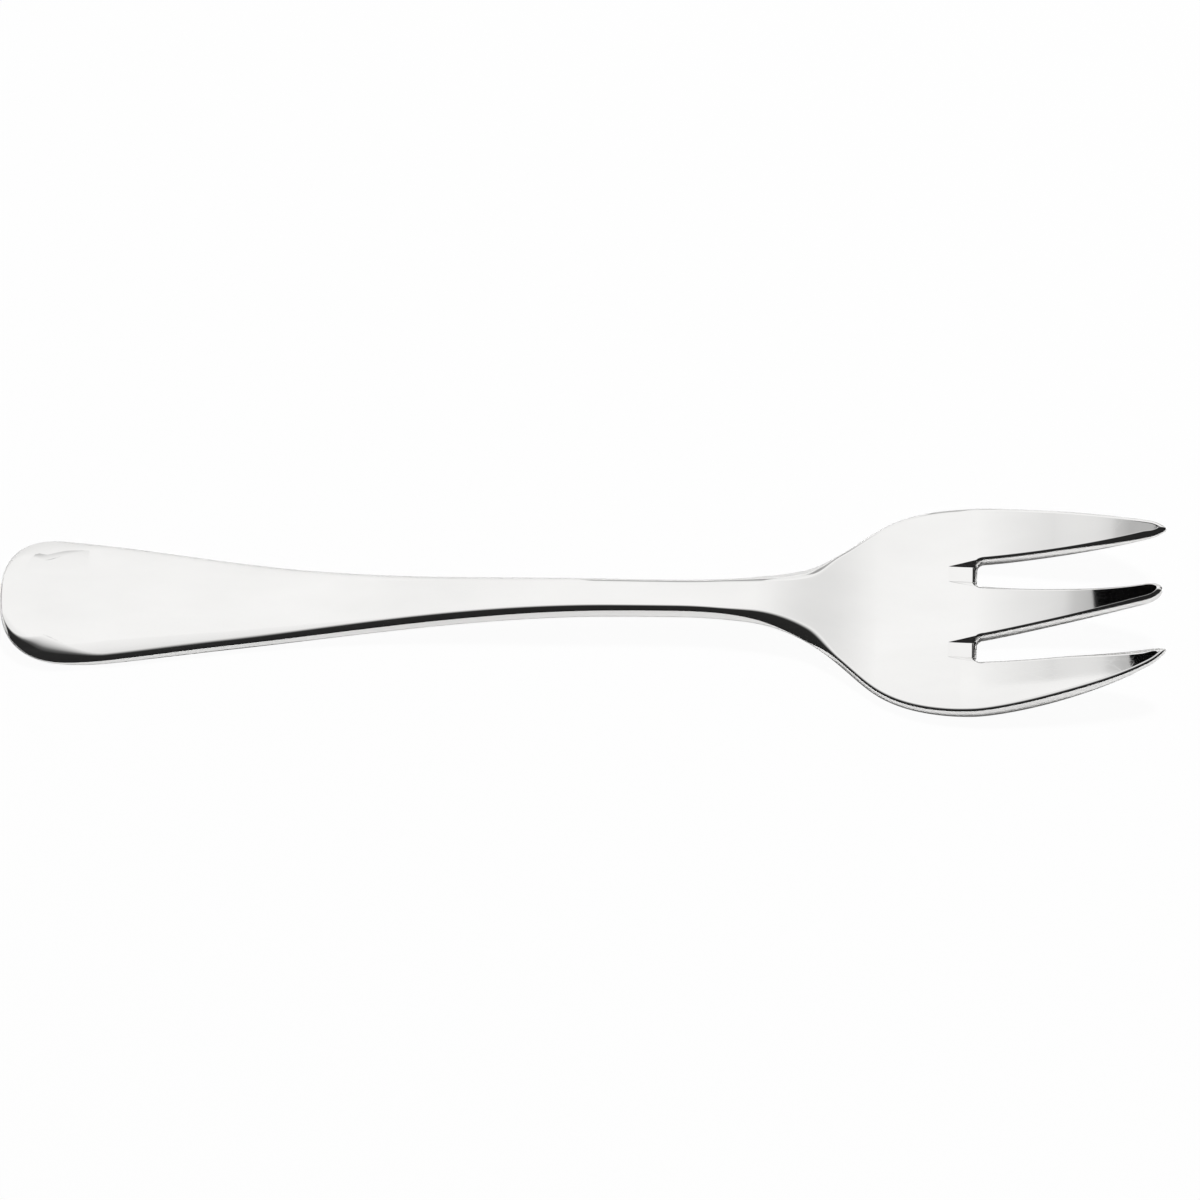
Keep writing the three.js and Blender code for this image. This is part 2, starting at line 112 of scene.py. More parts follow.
# Edges of the upper and the lower face: width in plan and depth in height
HANDLE_TIP_EDGE_WIDTH = 0.25 * MM
HANDLE_TIP_EDGE_DEPTH = 0.25 * MM
HANDLE_CORNER = 4.8 * MM  # from the end of the handle to where its edge is widest
HANDLE_CORNER_EDGE_WIDTH = 3.1 * MM
HANDLE_CORNER_EDGE_DEPTH = 0.55 * MM
HANDLE_EDGE_WIDTH = 0.97 * MM
HANDLE_EDGE_DEPTH = 0.45 * MM
WAIST_STATION = 54 * MM  # the slim part of the handle
WAIST_EDGE_WIDTH = 1.1 * MM
WAIST_EDGE_DEPTH = 0.9 * MM
NECK_EDGE_WIDTH = 0.85 * MM
NECK_EDGE_DEPTH = 0.85 * MM
SHOULDER_EDGE_START_TO_TIPS = 56 * MM  # the edge widens from here
SHOULDER_EDGE_TO_TIPS = 45 * MM  # to here, and narrows again
SHOULDER_EDGE_WIDTH = 1.85 * MM
SHOULDER_EDGE_DEPTH = 0.95 * MM
HEAD_EDGE_TO_TIPS = 40.5 * MM  # from here to the tips the rim has the head's own rounding
HEAD_EDGE_WIDTH = 0.6 * MM
HEAD_EDGE_DEPTH = 0.3 * MM
ROUND_EDGE = 0  # a rim is rounded,
BEVELLED_EDGE = 1  # bevelled, or something between
RIM_BEVEL_POWER = 2  # a bevel steepens from the face to the wall, by this power along the rim
SLOT_BEVEL_POWER = 1.5  # and by this one along the slots
EDGE_REACH = 0.93  # of an edge's width: from there the wall leans out to the outline
FULL_REACH = 1  # at the end of the handle and at the shoulder it stands upright
TINE_EDGE_WIDTH = 0.36 * MM
TINE_EDGE_DEPTH = 0.15 * MM
OUTER_TIP_EDGE_WIDTH = 0.9 * MM
CENTRE_TIP_EDGE_WIDTH = 0.45 * MM
TIP_EDGE_DEPTH = 0.5 * MM
TINE_EDGE_SHARE = 0.65  # most of a tine's half width that its edge takes up
UNDER_EDGE_WIDTH = 0.6 * MM
UNDER_EDGE_DEPTH = 0.45 * MM
SHOULDER_UNDER_EDGE_DEPTH = 0.6 * MM
TINE_UNDER_EDGE_DEPTH = 0.9 * MM  # the tines are rounder underneath, along the slots
ROOT_EDGE_WIDTH = 0.7 * MM  # the edge of a slot's root
ROOT_EDGE_DEPTH = 0.5 * MM
ROOT_TROUGH_DEPTH = 0.475 * MM  # each slot runs out into the bowl as a shallow trough
ROOT_TROUGH_LENGTH = 3.6 * MM
ROOT_TROUGH_SIDE = 0.889 * MM  # width of the trough's sloping sides, at the slot's root
ROOT_TROUGH_SIDE_END = 0.02 * MM  # and at the end of the trough
ROOT_TROUGH_NARROWING = 0.85 * MM  # how far each side comes in towards the end of the trough

# Fineness of the mesh
HANDLE_ROWS = 150
SHOULDER_ROWS = 120
ROOT_ROWS = 36
SHOULDER_ROWS_START = 93 * MM  # closer rows along the shoulder
ROOT_ROWS_LENGTH = 5 * MM  # closer rows before the roots of the slots
TINE_ROWS = 72
OUTER_COLUMNS = 14
CENTRE_COLUMNS = 14
ROOT_CORNER_COLUMNS = 10
ROOT_MIDDLE_COLUMNS = 6
CREASE_TURN = math.radians(1)  # keeps the two columns along each crease of a trough apart
EDGE_STEPS = 11
WALL_STEPS = 4
OUTLINE_SAMPLES = 600
SLOPE_STEP = 0.01 * MM  # for the slopes of the faces
HANDLE_TIP_LENGTH = 2.1 * MM  # the first row follows the end of the handle up to here
HANDLE_BOW_LENGTH = 20 * MM  # rows near the end of the handle bow along it for this long
TIP_BOW_LENGTH = 4 * MM  # and rows near the nose of a tine for this long
ROOT_TUCK_LENGTH = 10 * MM  # rows near the roots step back to them over this length

# The photograph's view, and where its frame has the point under the middle of the fork
FRAME_PIXELS = 1200
ORIGIN_PIXEL = (582.5, 613.7)
VIEW_ELEVATION = math.radians(60)
VIEW_AZIMUTH = math.radians(0.91)
SENSOR_WIDTH = 36 * MM
LENS_LENGTH = 597.3 * MM
VIEW_DISTANCE = 2479 * MM
CLIP_DISTANCE = 2 * VIEW_DISTANCE

# Polished steel: length and widths of its marks, their fineness, its tints and its roughness
POLISH_GRAIN = (9 * MM, 0.12 * MM, 0.12 * MM)
POLISH_GRAIN_DETAIL = 2
POLISH_CLOUDS = (14 * MM, 6 * MM, 6 * MM)
POLISH_CLOUDS_DETAIL = 3
SCRATCH_CELLS = (22 * MM, 1.6 * MM, 1.6 * MM)
SCRATCH_SHARE = 0.012  # of a cell's width
SCRATCH_TURNS = (math.radians(4), math.radians(-23))
SCRATCH_BREAKS = (5 * MM, 5 * MM, 5 * MM)
SCRATCH_BREAKS_DETAIL = 0
SCRATCH_BREAKS_RANGE = (0.5, 0.62)  # of the noise that breaks the scratches: from none to full ones
STEEL_LIGHT = (0.92, 0.915, 0.905, 1)
STEEL_DEEP = (0.88, 0.875, 0.865, 1)
TINT_RANGE = (0.3, 0.7)  # of the clouds: from the deep to the light steel
STEEL_ROUGHNESS = (0.02, 0.06)
WEAR_RANGE = (0.6, 1.4)  # of grain and clouds together: from the low to the high roughness
SCRATCH_ROUGHNESS = 0.1
POLISH_BUMP_HEIGHT = 0.004 * MM
POLISH_BUMP_STRENGTH = 0.06

# Studio: the table and the lights
FLOOR_SIZE = 8
FLOOR_GAP = 0.05 * MM
FLOOR_COLOUR = 0.7
FLOOR_WHITENESS = 0.96  # how much of the floor that the camera sees is plain white
FLOOR_WHITENESS_IN_METAL = 0.04
DOME_STRENGTH = 0.15  # for the light that falls on the floor from all round
SOFTBOX_SIZE = 0.14
SOFTBOX_PLACE = Vector((0.2, 0.45, 1))
SOFTBOX_POWER = 13

# Cards bent over the fork: the headings they come down to, in degrees from +X, their radii and ends
HOOD_HEADING = -97
LEFT_HEADING = 180
RIGHT_HEADING = 0
BACK_HEADING = 90
HOOD_RADIUS = 0.8
WING_RADIUS = 2.2
BACK_RADIUS = 3
STRIPE_RADIUS = 0.5  # close behind the fork
CARD_ENDS = (-12, 12)
LEFT_ENDS = (-1.6, 12)  # it leaves the back left free
STRIPE_ENDS = (-0.1, 0.02)  # behind the head and neck, but not behind the handle
CARD_SEGMENTS = 60

# How bright the cards are at angles from the zenith towards their heading, in degrees
HOOD_LEVELS = ((-22, 0.96), (-18, 0.9), (-10, 0.7), (-4, 0.47), (3, 0.12), (10, 0.022), (90, 0.016))
LEFT_LEVELS = (
    (0, 1), (12, 1), (20, 0.91), (26, 0.83), (28.5, 0.76),
    (30.2, 0.61), (34, 0.5), (60, 0.5), (90, 0.6),
)
RIGHT_LEVELS = (
    (0, 1), (8, 0.99), (20, 0.94), (30, 0.87),
    (40, 0.78), (48, 0.7), (52, 0.03), (90, 0.03),
)
BACK_LEVELS = ((32, 1), (55, 0.97), (75, 0.9), (89, 0.85))
STRIPE_LEVELS = (
    (32, 1), (38, 0.96), (44, 0.86), (51, 0.68), (60, 0.42),
    (72, 0.34), (77, 0.6), (82, 0.95), (89, 1),
)

# A dark panel at the back left, which the raised tines mirror: its corners along the fork and up
PANEL_BACK = 1  # behind the middle of the fork
PANEL_CORNERS = (
    (-0.81, 1.15),
    (-0.98, 1.53),
    (-1.55, 1.4),
    (-1.5, 1.05),
    (-1.07, 0.88),
    (-1.07, 0.72),
    (-0.85, 0.72),
)
PANEL_LEVEL = 0.0005

# Stations along the fork, measured from the end of the handle, and half widths
neck_station = LENGTH - NECK_TO_TIPS
neck_top_end = LENGTH - NECK_TOP_TO_TIPS
neck_top_start = neck_top_end - NECK_TOP_LENGTH
shoulder_edge_start = LENGTH - SHOULDER_EDGE_START_TO_TIPS
shoulder_edge_station = LENGTH - SHOULDER_EDGE_TO_TIPS
head_edge_station = LENGTH - HEAD_EDGE_TO_TIPS
floor_end = LENGTH - TINE_CURVE_LENGTH
floor_start = floor_end - BOWL_FLOOR_LENGTH
widest_station = LENGTH - HEAD_WIDEST_TO_TIPS
root_station = LENGTH - SLOT_LENGTH
slot_start = root_station + SLOT_ROOT_CORNER  # where a slot has its full width
thickest_station = LENGTH - TINE_THICKEST_TO_TIPS
centre_tip = LENGTH - CENTRE_TIP_SETBACK
rest_end = REST_START + REST_LENGTH
handle_half = HANDLE_WIDTH / 2
neck_half = NECK_WIDTH / 2
head_half = HEAD_WIDTH / 2
slot_middle = (CENTRE_TINE_WIDTH_AT_ROOT / 2 + OUTER_TINE_INSIDE_AT_ROOT) / 2
slot_half = OUTER_TINE_INSIDE_AT_ROOT - slot_middle


def blend(start, end, share):
    return start + (end - start) * share


def ease(value, low, high):
    """0 up to low, 1 from high on, and a smooth step between them."""
    share = np.clip((value - low) / (high - low), 0, 1)
    return share * share * (3 - 2 * share)


def level_curve(station, *knots):
    """A smooth curve through (station, value) knots, level at every knot."""
    value = knots[0][1]
    for (start, before), (end, after) in zip(knots, knots[1:]):
        value = value + (after - before) * ease(station, start, end)
    return value


def bezier(first, second, third, fourth):
    share = np.linspace(0, 1, OUTLINE_SAMPLES + 1)[:, None]
    rest = 1 - share
    corners = [np.array(corner) for corner in (first, second, third, fourth)]
    weights = (rest**3, 3 * rest**2 * share, 3 * rest * share**2, share**3)
    return sum(weight * corner for weight, corner in zip(weights, corners))


handle_end_curve = bezier(
    (0, 0),
    (0, HANDLE_END_FLATNESS),
    (HANDLE_END_LENGTH - HANDLE_END_BLUNTNESS, handle_half),
    (HANDLE_END_LENGTH, handle_half),
)
handle_curve = bezier(
    (HANDLE_END_LENGTH, handle_half),
    (HANDLE_END_LENGTH + HANDLE_TAPER_START, handle_half),
    (neck_station - HANDLE_TAPER_END, neck_half),
    (neck_station, neck_half),
)
shoulder_curve = bezier(
    (neck_station, neck_half),
    (neck_station + SHOULDER_START, neck_half),
    (widest_station - SHOULDER_END, head_half),
    (widest_station, head_half),
)
flank_curve = bezier(
    (widest_station, head_half),
    (widest_station + FLANK_START, head_half),
    (LENGTH - FLANK_END_REACH, OUTER_TIP_OFFSET + FLANK_END_RISE),
    (LENGTH, OUTER_TIP_OFFSET),
)
handle_tip_samples = np.searchsorted(handle_end_curve[:, 0], HANDLE_TIP_LENGTH)
handle_tip_curve = handle_end_curve[: handle_tip_samples + 1]
side_curve = np.concatenate(
    [handle_end_curve[handle_tip_samples:], handle_curve[1:], shoulder_curve[1:], flank_curve[1:]],
)
side_slope = np.gradient(side_curve[:, 1], side_curve[:, 0])
outline_curve = np.concatenate([handle_tip_curve[:-1], side_curve])


def half_width(station):
    return np.interp(station, outline_curve[:, 0], outline_curve[:, 1])


def centre_tine_half(station):
    left = np.clip((LENGTH - station) / SLOT_LENGTH, 0, 1)
    return blend(CENTRE_TIP_WIDTH, CENTRE_TINE_WIDTH_AT_ROOT, left**CENTRE_TINE_HOLLOW) / 2


def outer_tine_inside(station):
    along = np.clip(1 - (LENGTH - station) / SLOT_LENGTH, 0, 1)
    return blend(OUTER_TINE_INSIDE_AT_ROOT, OUTER_TIP_OFFSET - OUTER_TIP_WIDTH, along)


def lower_face(station, across):
    """Height of the lower face above the table."""
    along_middle = level_curve(
        station,
        (0, HANDLE_END_LIFT),
        (REST_START, 0),
        (rest_end, 0),
        (neck_top_start, NECK_RISE),
        (neck_top_end, NECK_RISE),
        (floor_start, 0),
    )
    curl = TIP_LIFT * np.clip((station - floor_end) / TINE_CURVE_LENGTH, 0, None) ** TINE_CURL
    dish = DISH_DEPTH * ease(station, neck_station, floor_start) * (across / head_half) ** 2
    return along_middle + curl + dish


def root_trough(station, across):
    """Depth of the troughs in which the slots run out into the bowl."""
    side = np.abs(across)
    beside = np.maximum(station, slot_start)
    inside = np.minimum(side - centre_tine_half(beside), outer_tine_inside(beside) - side)
    run = np.clip(1 - (root_station - station) / ROOT_TROUGH_LENGTH, 0, 1)
    width = blend(ROOT_TROUGH_SIDE_END, ROOT_TROUGH_SIDE, run)
    down_side = np.clip((inside - ROOT_TROUGH_NARROWING * (1 - run)) / width, 0, 1)
    return ROOT_TROUGH_DEPTH * run * down_side


def upper_face(station, across):
    """Height of the upper face above the table."""
    tip_thickness = np.where(np.abs(across) < slot_middle, CENTRE_TIP_THICKNESS, OUTER_TIP_THICKNESS)
    thickness = level_curve(
        station,
        (0, HANDLE_END_THICKNESS),
        (rest_end, HANDLE_THICKNESS),
        (neck_station, NECK_THICKNESS),
        (floor_start, BOWL_THICKNESS),
        (thickest_station, TINE_THICKNESS),
        (LENGTH, tip_thickness),
    )
    half = np.maximum(half_width(station), neck_half)
    crown_height = CROWN_EDGE_SLOPE * half / CROWN_POWER * (1 - ease(station, neck_station, floor_start))
    crown = crown_height * (np.abs(across) / half) ** CROWN_POWER
    return lower_face(station, across) + thickness - crown - root_trough(station, across)


# Stations along the rim, with the width and the depth of its edge there
rim_edges = (
    (0, HANDLE_TIP_EDGE_WIDTH, HANDLE_TIP_EDGE_DEPTH),
    (HANDLE_CORNER, HANDLE_CORNER_EDGE_WIDTH, HANDLE_CORNER_EDGE_DEPTH),
    (REST_START, HANDLE_EDGE_WIDTH, HANDLE_EDGE_DEPTH),
    (rest_end, HANDLE_EDGE_WIDTH, HANDLE_EDGE_DEPTH),
    (WAIST_STATION, WAIST_EDGE_WIDTH, WAIST_EDGE_DEPTH),
    (neck_station, NECK_EDGE_WIDTH, NECK_EDGE_DEPTH),
    (shoulder_edge_start, NECK_EDGE_WIDTH, NECK_EDGE_DEPTH),
    (shoulder_edge_station, SHOULDER_EDGE_WIDTH, SHOULDER_EDGE_DEPTH),
    (head_edge_station, HEAD_EDGE_WIDTH, HEAD_EDGE_DEPTH),
)


def rim_width(station):
    return level_curve(station, *[(at, width) for at, width, _ in rim_edges])


def rim_depth(station):
    return level_curve(station, *[(at, depth) for at, _, depth in rim_edges])


def rim_bevel(station):
    return level_curve(
        station,
        (HANDLE_CORNER, BEVELLED_EDGE),
        (REST_START, ROUND_EDGE),
        (shoulder_edge_start, ROUND_EDGE),
        (shoulder_edge_station, BEVELLED_EDGE),
        (head_edge_station, ROUND_EDGE),
    )


def slot_width(station):
    return level_curve(station, (thickest_station, TINE_EDGE_WIDTH), (LENGTH, OUTER_TIP_EDGE_WIDTH))


def centre_width(station):
    return level_curve(station, (thickest_station, TINE_EDGE_WIDTH), (LENGTH, CENTRE_TIP_EDGE_WIDTH))


def slot_depth(station):
    return level_curve(
        station,
        (root_station, ROOT_EDGE_DEPTH),
        (slot_start, TINE_EDGE_DEPTH),
        (thickest_station, TINE_EDGE_DEPTH),
        (LENGTH, TIP_EDGE_DEPTH),
    )


def slot_under_depth(station):
    return level_curve(
        station,
        (root_station, UNDER_EDGE_DEPTH),
        (thickest_station, TINE_UNDER_EDGE_DEPTH),
        (LENGTH, UNDER_EDGE_DEPTH),
    )


def edge_reach(station):
    return level_curve(
        station,
        (HANDLE_CORNER, FULL_REACH),
        (REST_START, EDGE_REACH),
        (shoulder_edge_start, EDGE_REACH),
        (shoulder_edge_station, FULL_REACH),
        (head_edge_station, EDGE_REACH),
    )


def rim_under_depth(station):
    return level_curve(
        station,
        (shoulder_edge_start, UNDER_EDGE_DEPTH),
        (shoulder_edge_station, SHOULDER_UNDER_EDGE_DEPTH),
        (head_edge_station, UNDER_EDGE_DEPTH),
    )


class Inset:
    """How far a plan is drawn in from the fork's outline: by its edges' widths, or not at all."""

    def __init__(self, rim, slot, centre, root):
        self.rim = rim
        self.slot = slot
        self.centre = centre
        self.root = root


def no_width(station):
    return 0 * station


def under_width(station):
    return UNDER_EDGE_WIDTH + 0 * station


NO_INSET = Inset(no_width, no_width, no_width, 0)
UPPER_INSET = Inset(rim_width, slot_width, centre_width, ROOT_EDGE_WIDTH)
LOWER_INSET = Inset(under_width, under_width, under_width, UNDER_EDGE_WIDTH)


def drawn_in(points, slope, width):
    """Points of a +Y edge, moved to the metal's side by width, square to the edge."""
    tilt = np.stack([-slope, np.ones_like(slope)], axis=-1)
    return points - tilt * (width / np.hypot(slope, 1))[..., None]


def handle_tip_arc(inset, fractions):
    """Points along the tip of the handle, from its -Y to its +Y side, evenly by the outline's length."""
    tangent = np.gradient(handle_end_curve, axis=0)[: len(handle_tip_curve)]
    length = np.linalg.norm(tangent, axis=1, keepdims=True)
    outward = np.stack([-tangent[:, 1], tangent[:, 0]], axis=-1) / length
    curve = handle_tip_curve - outward * inset.rim(handle_tip_curve[:, :1])
    steps = np.linalg.norm(np.diff(handle_tip_curve, axis=0), axis=1)
    travel = np.concatenate([[0], np.cumsum(steps)])
    at = np.abs(fractions) * travel[-1]
    station = np.interp(at, travel, curve[:, 0])
    across = np.interp(at, travel, curve[:, 1]) * np.sign(fractions)
    return np.stack([station, across], axis=-1)


def root_turns():
    """Turns round a corner of a slot's root, in close pairs at the two creases of the trough's side."""
    crease = math.acos(SLOT_ROOT_CORNER / (SLOT_ROOT_CORNER + TINE_EDGE_WIDTH))
    half = ROOT_CORNER_COLUMNS // 2
    return np.concatenate(
        [
            np.linspace(0, crease - CREASE_TURN, half),
            np.linspace(crease + CREASE_TURN, math.pi / 2 - CREASE_TURN, half),
            [math.pi / 2],
        ],
    )


def slot_root(inset):
    """Points round the root of the +Y slot, from the centre tine's side to the outer tine's."""
    turn = root_turns()
    beside = inset.slot(slot_start)
    depth = (SLOT_ROOT_CORNER + inset.root) * np.sin(turn)
    bend = SLOT_ROOT_CORNER - (SLOT_ROOT_CORNER + beside) * np.cos(turn)
    low = centre_tine_half(slot_start) + bend
    high = outer_tine_inside(slot_start) - bend
    middle = np.linspace(low[-1], high[-1], ROOT_MIDDLE_COLUMNS + 1)[1:-1]
    across = np.concatenate([low, middle, high[::-1]])
    back = np.concatenate([depth, np.full(middle.size, depth[-1]), depth[::-1]])
    return np.stack([slot_start - back, across], axis=-1)


def mirrored(points):
    """Rows of points on the other side of the fork, still running from -Y to +Y."""
    return (points * np.array([1, -1]))[..., ::-1, :]


def tine_rows(low, high, nose_length, nose_edges, columns):
    """Rows across a tine, with denser columns at its edges. The last rows bow to its rounded nose."""
    turn = np.linspace(-math.pi / 2, math.pi / 2, columns + 1)
    share = (1 + np.sin(turn)) / 2
    straight = blend(low[:, None], high[:, None], share[:, None])
    nose_start = low[-1, 0]
    bow = ease(low[:, :1], nose_start - TIP_BOW_LENGTH, nose_start)
    station = straight[..., 0] + bow * nose_length * np.cos(turn)
    nose_low, nose_high = nose_edges(station)
    across = blend(straight[..., 1], blend(nose_low, nose_high, share), bow)
    return np.stack([station, across], axis=-1)


def tine_stations(nose_start):
    return np.linspace(slot_start, nose_start, TINE_ROWS + 1)


def tine_inset(width, half):
    return np.minimum(width, TINE_EDGE_SHARE * half)


def centre_tine(inset):
    stations = tine_stations(centre_tip - TIP_NOSE_LENGTH)

    def inner_half(station):
        half = centre_tine_half(station)
        return half - tine_inset(inset.centre(station), half)

    high = np.stack([stations, inner_half(stations)], axis=-1)
    low = high * np.array([1, -1])
    kept = high[-1, 1] / centre_tine_half(stations[-1])

    def nose(station):
        half = inner_half(station)
        return -half, half

    return tine_rows(low, high, TIP_NOSE_LENGTH * kept, nose, CENTRE_COLUMNS)


def outer_tine(inset):
    stations = tine_stations(LENGTH - TIP_NOSE_LENGTH)

    def inner_edges(station):
        inside = outer_tine_inside(station)
        outside = half_width(station)
        half = (outside - inside) / 2
        drawn_inside = inside + tine_inset(inset.slot(station), half)
        drawn_outside = outside - tine_inset(inset.rim(station), half)
        return drawn_inside, drawn_outside

    near, far = inner_edges(stations)
    low = np.stack([stations, near], axis=-1)
    high = np.stack([stations, far], axis=-1)
    tip_width = half_width(stations[-1]) - outer_tine_inside(stations[-1])
    kept = (far[-1] - near[-1]) / tip_width
    return tine_rows(low, high, TIP_NOSE_LENGTH * kept, inner_edges, OUTER_COLUMNS)


def follow_trough(station, across, at_root):
    """Columns that start at the slots' roots, moved to run along the creases of the troughs."""
    side = np.abs(at_root)
    from_centre = side - centre_tine_half(slot_start)
    from_outer = outer_tine_inside(slot_start) - side
    inside = np.minimum(from_centre, from_outer)
    inwards = np.sign(at_root) * np.where(from_centre < from_outer, 1, -1)
    upper_share = np.interp(inside, [-ROOT_TROUGH_SIDE, 0, ROOT_TROUGH_SIDE], [0, 1, 0])
    lower_share = np.interp(inside, [0, ROOT_TROUGH_SIDE, slot_half], [0, 1, 0])
    lower_move = ROOT_TROUGH_NARROWING + ROOT_TROUGH_SIDE_END - ROOT_TROUGH_SIDE
    move = inwards * (ROOT_TROUGH_NARROWING * upper_share + lower_move * lower_share)
    away = np.clip((root_station - station) / ROOT_TROUGH_LENGTH, 0, 1)
    parallel = (at_root - across) * np.interp(inside, [-ROOT_TROUGH_SIDE, 0], [0, 1])
    kept = ease(station, root_station - ROOT_TUCK_LENGTH, root_station - ROOT_TROUGH_LENGTH)
    return across + kept * (parallel + away * move)


def body_rows(inset, tine, middle_tine):
    """Rows across the fork, from the end of the handle to the slots' roots, in the tines' columns."""
    root = slot_root(inset)
    last = np.concatenate(
        [mirrored(tine[0]), mirrored(root)[1:-1], middle_tine[0], root[1:-1], tine[0]],
    )
    side_start = side_curve[0, 0]
    close_start = slot_start - ROOT_ROWS_LENGTH
    stations = np.concatenate(
        [
            np.linspace(side_start, SHOULDER_ROWS_START, HANDLE_ROWS + 1)[:-1],
            np.linspace(SHOULDER_ROWS_START, close_start, SHOULDER_ROWS + 1)[:-1],
            np.linspace(close_start, slot_start, ROOT_ROWS + 1),
        ],
    )
    slope = np.interp(stations, side_curve[:, 0], side_slope)
    edge = drawn_in(np.stack([stations, half_width(stations)], axis=-1), slope, inset.rim(stations))
    fractions = last[:, 1] / edge[-1, 1]
    arc = handle_tip_arc(inset, fractions)
    bow = 1 - ease(stations, side_start, side_start + HANDLE_BOW_LENGTH)[:, None]
    tuck = ease(stations, slot_start - ROOT_TUCK_LENGTH, slot_start)[:, None]
    station = edge[:, :1] + bow * (arc[:, 0] - arc[-1, 0]) + tuck * (last[:, 0] - edge[-1, 0])
    straight = edge[:, 1:] * fractions
    bowed = edge[:, 1:] * arc[:, 1] / arc[-1, 1]
    across = follow_trough(station, blend(straight, bowed, bow), last[:, 1])
    return np.stack([station, across], axis=-1)


def plan(inset):
    """The four patches of the plan: body, right tine, centre tine and left tine."""
    left = outer_tine(inset)
    centre = centre_tine(inset)
    return [body_rows(inset, left, centre), mirrored(left), centre, left]


# First and last column of each tine in the body's rows
root_columns = 2 * ROOT_CORNER_COLUMNS + ROOT_MIDDLE_COLUMNS
right_end = OUTER_COLUMNS
centre_start = right_end + root_columns
centre_end = centre_start + CENTRE_COLUMNS
left_start = centre_end + root_columns


def border(patches):
    """The closed border of the four patches, with the metal on its left seen from above."""
    body, right, centre, left = patches

    def round_tine(rows):
        return [rows[:-1, 0], rows[-1, :-1], rows[:0:-1, -1]]

    return np.concatenate(
        [
            body[:-1, 0],
            *round_tine(right),
            body[-1, right_end:centre_start],
            *round_tine(centre),
            body[-1, centre_end:left_start],
            *round_tine(left),
            body[:0:-1, -1],
            body[0, :0:-1],
        ],
    )


class Skin:
    """Vertices and faces of a mesh, gathered patch by patch."""

    def __init__(self):
        self.vertices = []
        self.normals = []
        self.faces = []
        self.count = 0

    def add(self, points, normals=None):
        """New vertices and their normals. Zeros stand for normals that follow from the faces."""
        flat = points.reshape(-1, 3)
        first = self.count
        self.vertices.append(flat)
        self.normals.append(np.zeros_like(flat) if normals is None else normals.reshape(-1, 3))
        self.count += len(flat)
        return np.arange(first, self.count).reshape(points.shape[:-1])

    def fill(self, rows, flipped):
        corners = [rows[:-1, :-1], rows[1:, :-1], rows[1:, 1:], rows[:-1, 1:]]
        quads = np.stack(corners, axis=-1).reshape(-1, 4)
        self.faces.append(quads[:, ::-1] if flipped else quads)

    def mesh(self, name):
        mesh = bpy.data.meshes.new(name)
        vertices = np.concatenate(self.vertices)
        faces = np.concatenate(self.faces)
        mesh.from_pydata(vertices.tolist(), [], faces.tolist())
        mesh.validate()
        mesh.shade_smooth()
        mesh.normals_split_custom_set_from_vertices(np.concatenate(self.normals).tolist())
        return mesh


def pressed(points, face, drop):
    """Plan points at the height of a face, lowered by drop."""
    station = points[..., 0]
    across = points[..., 1]
    return np.stack([station - LENGTH / 2, across, face(station, across) - drop], axis=-1)


def face_normals(points, face, flipped):
    """Normals of a face at plan points, from its rise over a short step each way."""
    station = points[..., 0]
    across = points[..., 1]
    along_rise = face(station + SLOPE_STEP, across) - face(station - SLOPE_STEP, across)
    across_rise = face(station, across + SLOPE_STEP) - face(station, across - SLOPE_STEP)
    upright = np.stack([-along_rise, -across_rise, np.full_like(station, 2 * SLOPE_STEP)], axis=-1)
    length = np.linalg.norm(upright, axis=-1, keepdims=True)
    return -upright / length if flipped else upright / length


def add_face(skin, patches, face, flipped):
    """One face of the fork. The tines' first rows are the body's last one, so they share its vertices."""
    body, *tines = patches
    rows = skin.add(pressed(body, face, 0), face_normals(body, face, flipped))
    skin.fill(rows, flipped)
    starts = (0, centre_start, left_start)
    grids = [rows]
    for tine, start in zip(tines, starts):
        shared = rows[-1:, start : start + tine.shape[1]]
        own = tine[1:]
        grid = np.concatenate([shared, skin.add(pressed(own, face, 0), face_normals(own, face, flipped))])
        skin.fill(grid, flipped)
        grids.append(grid)
    return grids


def along_slot(points):
    """Which points of the outline lie along a slot, and not along the fork's rim."""
    station = points[:, 0]
    tine_middle = (outer_tine_inside(station) + half_width(station)) / 2
    return (station > root_station - SLOT_ROOT_CORNER) & (np.abs(points[:, 1]) < tine_middle)


